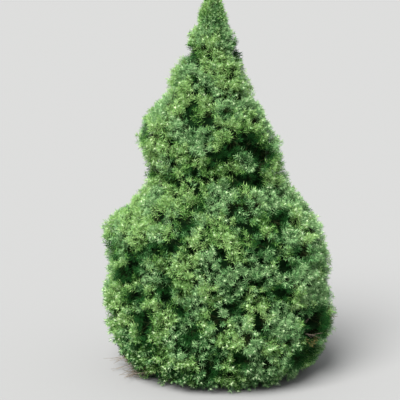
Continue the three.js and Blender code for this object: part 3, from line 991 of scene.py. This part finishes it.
def twig_lines(clumps):
    """The twig of each clump, from the lobe's stem towards the spray's tip, with its radii."""
    lines = []
    for row in clumps:
        foot = row[7:10]
        tip = mix(row[:3], row[4:7], TWIG_END)
        bend = mix(foot, tip, 0.5) - UP * TWIG_SAG * np.linalg.norm(tip - foot)
        lines.append(bezier(foot, bend, tip, TWIG_STATIONS))
    radii = np.tile(np.linspace(*TWIG_RADII, TWIG_STATIONS), (len(clumps), 1))
    return above_ground(np.array(lines)), radii


def above_ground(points):
    """The points, with those that lie too low brought up."""
    raised = points.copy()
    raised[..., 2] = np.maximum(raised[..., 2], LOWEST_TWIG)
    return raised


def shoot_twigs(shoots, clumps):
    """The fine twig that carries each shoot, out of its clump and to its tip."""
    starts = above_ground(mix(clumps[shoots.clump, :3], shoots.tips, SHOOT_TWIG_START))
    ways = shoots.tips - starts
    lengths = np.linalg.norm(ways, axis=1)
    return spikes(starts, ways / lengths[:, None], lengths, SHOOT_TWIG_RADIUS)


def dead_ends():
    """Where the dead twigs start and end: under the skirt on the left, and inside the first hollow."""
    turns = np.radians(random.uniform(*DEAD_TURNS, DEAD_TWIGS))
    outward = outward_ways(turns)
    reach = crown_reach(DEAD_TIP[0], turns)[:, None]
    feet = outward * (reach - DEAD_INSIDE) + UP * random.uniform(*DEAD_FOOT, (DEAD_TWIGS, 1))
    tips = outward * (reach + random.uniform(*DEAD_OUTSIDE, (DEAD_TWIGS, 1)))
    tips = tips + UP * random.uniform(*DEAD_TIP, (DEAD_TWIGS, 1))
    tips[:, :2] += random.normal(scale=DEAD_SCATTER, size=(DEAD_TWIGS, 2))
    middle, radius, _ = HOLLOWS[0]
    spread = HOLLOW_SPREAD * radius
    hollow_tips = np.multiply(middle, HOLLOW_TIPS) + random.normal(scale=spread, size=(HOLLOW_TWIGS, 3))
    hollow_feet = np.multiply(middle, HOLLOW_FEET) + random.normal(scale=spread, size=(HOLLOW_TWIGS, 3))
    return np.vstack([feet, hollow_feet]), np.vstack([tips, hollow_tips])


def dead_twigs():
    """Bare, crooked dead twigs, each with its side twigs."""
    lines = []
    for foot, tip in zip(*dead_ends()):
        length = np.linalg.norm(tip - foot)
        bend = mix(foot, tip, 0.5) + random.normal(scale=DEAD_CROOK * length, size=3)
        line = bezier(foot, bend, tip, TWIG_STATIONS)
        lines.append(line)
        for _ in range(SIDE_TWIGS):
            start = line[random.integers(*SIDE_TWIG_STATIONS)]
            aside = random.normal(scale=SIDE_TWIG_SCATTER * length, size=3)
            end = start + SIDE_TWIG_SHARE * (tip - foot) + aside
            lines.append(bezier(start, mix(start, end, 0.5), end, TWIG_STATIONS))
    radii = np.tile(np.linspace(*DEAD_RADII, TWIG_STATIONS), (len(lines), 1))
    radii[::SIDE_TWIGS + 1] *= DEAD_THICKER
    return limbs(above_ground(np.array(lines)), radii, TWIG_SIDES)


def line_of_sight(right, down):
    """Where the line of sight through a pixel of the photo meets the crown's outline, and its direction."""
    tilt = math.radians(CAMERA_TILT)
    scale = PICTURE_SIZE * LENS / SENSOR
    x = (right - PICTURE_SIZE / 2) / scale
    y = (PICTURE_SIZE / 2 - down) / scale
    way = unit(np.array([x, math.cos(tilt) + y * math.sin(tilt), y * math.cos(tilt) - math.sin(tilt)]))
    points = np.array(CAMERA_PLACE) / MM + np.arange(*SIGHT_STEPS)[:, None] * way
    return points[np.argmax(depth_in_crown(points) > 0)], way


def back_crevices():
    """Where crevices open on the sides that the photo doesn't show, and their directions."""
    heights = random.triangular(*BACK_HEIGHTS, BACK_CREVICES)
    turns = np.radians(random.uniform(*BACK_TURNS, BACK_CREVICES))
    outward = outward_ways(turns)
    starts = trunk_line(heights) + outward * crown_reach(heights, turns)[:, None]
    return list(zip(starts, -outward))


def open_crevices(shoots):
    """Leaves out the shoots in the crevices, and paints shade on those round them."""
    keep = np.ones(len(shoots.tips), bool)
    for start, way in [line_of_sight(*pixel) for pixel in CREVICES] + back_crevices():
        offset = shoots.tips - start
        along = offset @ way
        side, over = across(way[None])
        turn = random.uniform(0, math.pi)
        a = offset @ (side[0] * math.cos(turn) + over[0] * math.sin(turn))
        b = offset @ (over[0] * math.cos(turn) - side[0] * math.sin(turn))
        away = np.hypot(a * (1 - CREVICE_STRETCH), b) / random.uniform(*CREVICE_WIDTH)
        depth = min(CREVICE_DEPTH, CREVICE_SHARE * crown_reach(start[2], 0))
        edge = 1 + CREVICE_RAGGED * random.uniform(-1, 1, len(keep))
        keep &= (np.abs(along) >= depth) | (away > edge)
        # Painted shade: shoots round a crevice get darker needles
        shade = np.clip((away - SHADE_FULL) / (SHADE_END - SHADE_FULL), 0, 1)
        shoots.openness *= np.where(np.abs(along) < SHADE_DEPTH * depth, shade, 1)
    return shoots.pick(keep)


def near(points, middle, radius):
    return np.linalg.norm(points - np.array(middle), axis=1) < radius


def thin_hollows(shoots):
    """The shoots that are left: few or none in the hollows."""
    keep = np.ones(len(shoots.tips), bool)
    for middle, radius, share in HOLLOWS:
        keep &= ~near(shoots.tips, middle, radius) | (random.uniform(0, 1, len(keep)) < share)
    return shoots.pick(keep)


def browned(shoots):
    """Which shoots are dry."""
    dry = np.zeros(len(shoots.tips), bool)
    for middle, radius in BROWNED:
        dry |= near(shoots.tips, middle, radius) & (random.uniform(0, 1, len(dry)) < BROWNED_SHARE)
    for middle, radius, _ in HOLLOWS:
        dry |= near(shoots.tips, middle, radius)
    return dry


def set_inputs(node, values):
    for name, value in values.items():
        node.inputs[name].default_value = value


def noise(nodes, scale, detail):
    node = nodes.new("ShaderNodeTexNoise")
    set_inputs(node, {"Scale": scale, "Detail": detail})
    return node


def foliage_material(name, roughness=0.6):
    """A colour that varies from dark to light in patches and in a fine grain."""
    material = bpy.data.materials.new(name)
    material.use_nodes = True
    nodes = material.node_tree.nodes
    links = material.node_tree.links
    shader = nodes["Principled BSDF"]
    set_inputs(shader, {"Roughness": roughness, "Specular IOR Level": 0.06})
    place = nodes.new("ShaderNodeTexCoord")
    patches = noise(nodes, scale=26, detail=3)
    grain = noise(nodes, scale=240, detail=2)
    blend = nodes.new("ShaderNodeMix")
    blend.data_type = "FLOAT"
    blend.inputs["Factor"].default_value = 0.45
    ramp = nodes.new("ShaderNodeValToRGB")
    for stop, position, colour in zip(ramp.color_ramp.elements, (0.36, 0.64), COLOURS[name]):
        stop.position = position
        stop.color = (*colour, 1)
    for texture in patches, grain:
        links.new(place.outputs["Object"], texture.inputs["Vector"])
    links.new(patches.outputs["Fac"], blend.inputs[2])
    links.new(grain.outputs["Fac"], blend.inputs[3])
    links.new(blend.outputs[0], ramp.inputs["Fac"])
    links.new(ramp.outputs["Color"], shader.inputs["Base Color"])
    return material


def bark_material(name, scale):
    """The same in the bark's colours, with a fine grain of bumps."""
    material = foliage_material(name, roughness=0.9)
    nodes = material.node_tree.nodes
    links = material.node_tree.links
    bumps = noise(nodes, scale, detail=6)
    bump = nodes.new("ShaderNodeBump")
    set_inputs(bump, {"Strength": 0.5, "Distance": MM})
    links.new(bumps.outputs["Fac"], bump.inputs["Height"])
    links.new(bump.outputs["Normal"], nodes["Principled BSDF"].inputs["Normal"])
    return material


def add_object(name, data):
    made = bpy.data.objects.new(name, data)
    bpy.context.scene.collection.objects.link(made)
    return made


def add_piece(name, mesh_data, material, smooth=False):
    """Makes one piece of the plant from points in millimetres and triangles."""
    points, faces = mesh_data
    mesh = bpy.data.meshes.new(name)
    mesh.from_pydata((points * MM).tolist(), [], faces.tolist())
    mesh.polygons.foreach_set("use_smooth", np.full(len(faces), smooth))
    mesh.materials.append(material)
    piece = add_object(name, mesh)
    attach(piece, "root")
    return piece


def nodes_named(start):
    return [name for name in sorted(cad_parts) if name.startswith(start)]


def build_plant():
    lobes = lay_lobes()
    clumps = fill_gaps(lobes, fitted(grow_clumps(lobes)))
    shoots = thin_hollows(open_crevices(grow_shoots(clumps)))
    shoots = shoots.with_more(leader_shoots(len(clumps) - 1))
    add_limbs(lobes, clumps, shoots)
    add_inside(lobes, shoots)
    dry = browned(shoots)
    straw = foliage_material("dry_needles", roughness=0.8)
    add_piece("dry_needles", needles(shoots.pick(dry), DRY_NEEDLES), straw)
    shoots = shoots.pick(~dry)
    add_needles(shoots, clumps)
    add_fresh_tips(shoots)


def add_limbs(lobes, clumps, shoots):
    """The trunk, the boughs, the stems and every kind of twig."""
    bark = bark_material("bark", BARK_GRAIN)
    trunk = add_piece("trunk_bark", trunk_bark(), bark, smooth=True)
    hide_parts("trunk")
    boughs = add_piece("bough_bark", limbs(*bough_lines(lobes), BOUGH_SIDES), bark, smooth=True)
    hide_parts(*nodes_named("bough_"))
    # Stems and twigs: their bark darkened as painted shade
    young_bark_painted_shade = bark_material("young_bark_painted_shade", TWIG_GRAIN)
    shown = clumps[np.unique(shoots.clump)]
    stems = joined([limbs(*stem_lines(lobes), STEM_SIDES), limbs(*twig_lines(shown), TWIG_SIDES)])
    add_piece("stems_and_twigs", stems, young_bark_painted_shade, smooth=True)
    add_piece("shoot_twigs", shoot_twigs(shoots, clumps), young_bark_painted_shade)
    add_piece("dead_twigs", dead_twigs(), bark_material("dead_bark", TWIG_GRAIN))


def add_inside(lobes, shoots):
    """The inside of the crown, a near-black mass of painted shade, and the dark needles of painted shade on
    it where no other shoot covers it.
    """
    inside = foliage_material("inner_foliage_painted_shade", roughness=0.95)
    ball, ball_faces = icosphere(CORE_CUTS)
    cores = [core_points(lobe, ball) for lobe in lobes]
    heart = heart_rings()
    core_mesh = joined([(core, ball_faces) for core in cores] + [tube(heart)])
    add_piece("inner_foliage_painted_shade", core_mesh, inside)
    deep = deep_shoots(lobes, cores, heart, shoots)
    dark_green = foliage_material("deep_needles")
    add_piece("deep_needles", needles(deep, DEEP_NEEDLES), dark_green)


def add_needles(shoots, clumps):
    """The needles, one colour to a piece. The solid masses of foliage are hidden."""
    levels, warm = deal_out(shoots, clumps)
    points, _ = needles(shoots)
    kinds = needle_kinds(levels, warm)
    # Each kind is a level of painted light or shade, in a cool or a warm green
    for kind, name in enumerate(name for name in COLOURS if name.startswith("needles_")):
        material = foliage_material(name)
        chosen = np.flatnonzero(kinds == kind)
        for part, some in enumerate(np.array_split(chosen, 1 + len(chosen) // MOST_NEEDLES)):
            piece = add_piece(f"{name}_{part + 1}", some_needles(points, some), material)
    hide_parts(*nodes_named("foliage_"))


def add_fresh_tips(shoots):
    """Fresh tips on the most open shoots: pale ones on the first, green ones on the next."""
    sun = shoots.openness + random.uniform(-TIP_SCATTER, TIP_SCATTER, len(shoots.tips))
    order = np.argsort(-sun)
    pale = round(PALE_SHARE * len(order))
    green = round(GREEN_SHARE * len(order))
    add_tips("pale_tips", shoots.pick(order[:pale]))
    add_tips("green_tips", shoots.pick(order[pale:pale + green]))


def add_tips(name, shoots):
    add_piece(name, fresh_tips(shoots), foliage_material(name, roughness=0.5))


def slow_drift(points):
    """A number that drifts slowly from place to place, between about -1 and 1."""
    total = np.zeros(len(points))
    for way, wave, start in DRIFT_WAVES:
        total += np.sin(points @ np.array(way) * 2 * math.pi / wave + start)
    return total / len(DRIFT_WAVES)


def deal_out(shoots, clumps):
    """Gives each shoot a lightness of painted light and shade, darker further inside and where it is less
    open, and a warm or a cool green by its place, warmer on the lit left and top as a painted tint.
    """
    n = len(shoots.tips)
    height = shoots.tips[:, 2]
    left = -shoots.tips[:, 0] / CROWN_HALF_WIDTH
    # Painted shade: less open places get darker needles; the scatter and the drift are random tone
    light = shoots.openness + random.uniform(-LIGHT_SCATTER, LIGHT_SCATTER, n)
    light += LIGHT_DRIFT * slow_drift(shoots.tips[:, [1, 2, 0]])
    # Painted light: the top of each lump lighter, its underside darker
    light += LUMP_LIGHT * unit(shoots.tips - clumps[shoots.clump, :3])[:, 2]
    # Painted shade near the ground
    light -= LOW_SHADE * np.clip(1 - height / LOW_HEIGHT, 0, 1)
    # Painted light and shade from the left
    light += LEFT_LIGHT * left * np.clip((height - LEFT_LIT_ABOVE) / LEFT_LIT_RISE, -1, 1)
    order = np.argsort(np.argsort(light)) / n
    # Warmer on the lit left and top: a painted tint of light
    warmth = slow_drift(shoots.tips) + WARM_LIT_LEFT * left + WARM_LIT_TOP * (height / TREE_HEIGHT - 0.5)
    warm = warmth + random.normal(scale=WARM_SCATTER, size=n) > 0
    return np.searchsorted(LEVEL_SHARES, order), warm


def needle_kinds(levels, warm):
    """The number of each needle's colour: the painted deep shade, or a cool and a warm one for each painted
    lightness.
    """
    steps = random.choice([-1, 0, 1], p=NEEDLE_STEPS, size=(len(levels), NEEDLES_A_SHOOT))
    level = np.clip(levels[:, None] + steps * (levels[:, None] > 0), 0, len(LEVEL_SHARES))
    return np.where(level == 0, 0, 2 * level - 1 + warm[:, None]).ravel()


def some_needles(points, chosen):
    """The chosen needles as a mesh of their own."""
    corners = points.reshape(-1, BLADE_POINTS, 3)[chosen]
    return corners.reshape(-1, 3), copies(BLADE_FACES, BLADE_POINTS, len(corners))


def add_floor():
    corners = [(x * FLOOR_SIZE, y * FLOOR_SIZE, 0) for x, y in [(-1, -1), (1, -1), (1, 1), (-1, 1)]]
    mesh = bpy.data.meshes.new("floor")
    mesh.from_pydata(corners, [], [[0, 1, 2, 3]])
    material = bpy.data.materials.new("floor")
    material.use_nodes = True
    shader = material.node_tree.nodes["Principled BSDF"]
    set_inputs(shader, {"Base Color": FLOOR_COLOUR, "Roughness": 0.9, "Specular IOR Level": 0})
    mesh.materials.append(material)
    add_object("floor", mesh)


def add_key_light():
    """Soft light from a wide disc in the sky, above the camera and to its left."""
    light = bpy.data.lights.new("key", "SUN")
    light.energy = KEY_STRENGTH
    light.angle = math.radians(KEY_SPREAD)
    light.color = KEY_COLOUR
    lamp = add_object("key", light)
    lamp.location = KEY_FROM
    lamp.rotation_euler = (-Vector(KEY_FROM)).to_track_quat("-Z", "Y").to_euler()


def add_sky():
    world = bpy.data.worlds.new("studio")
    world.use_nodes = True
    set_inputs(world.node_tree.nodes["Background"], {"Color": SKY_COLOUR, "Strength": SKY_STRENGTH})
    bpy.context.scene.world = world
    bpy.context.scene.view_settings.view_transform = "Standard"


def add_camera():
    data = bpy.data.cameras.new("camera")
    data.lens = LENS
    data.sensor_width = SENSOR
    data.clip_end = 2 * FLOOR_SIZE
    camera = add_object("camera", data)
    camera.location = CAMERA_PLACE
    camera.rotation_euler = (math.radians(90 - CAMERA_TILT), 0, 0)
    bpy.context.scene.camera = camera


build_plant()
add_floor()
add_sky()
add_key_light()
add_camera()
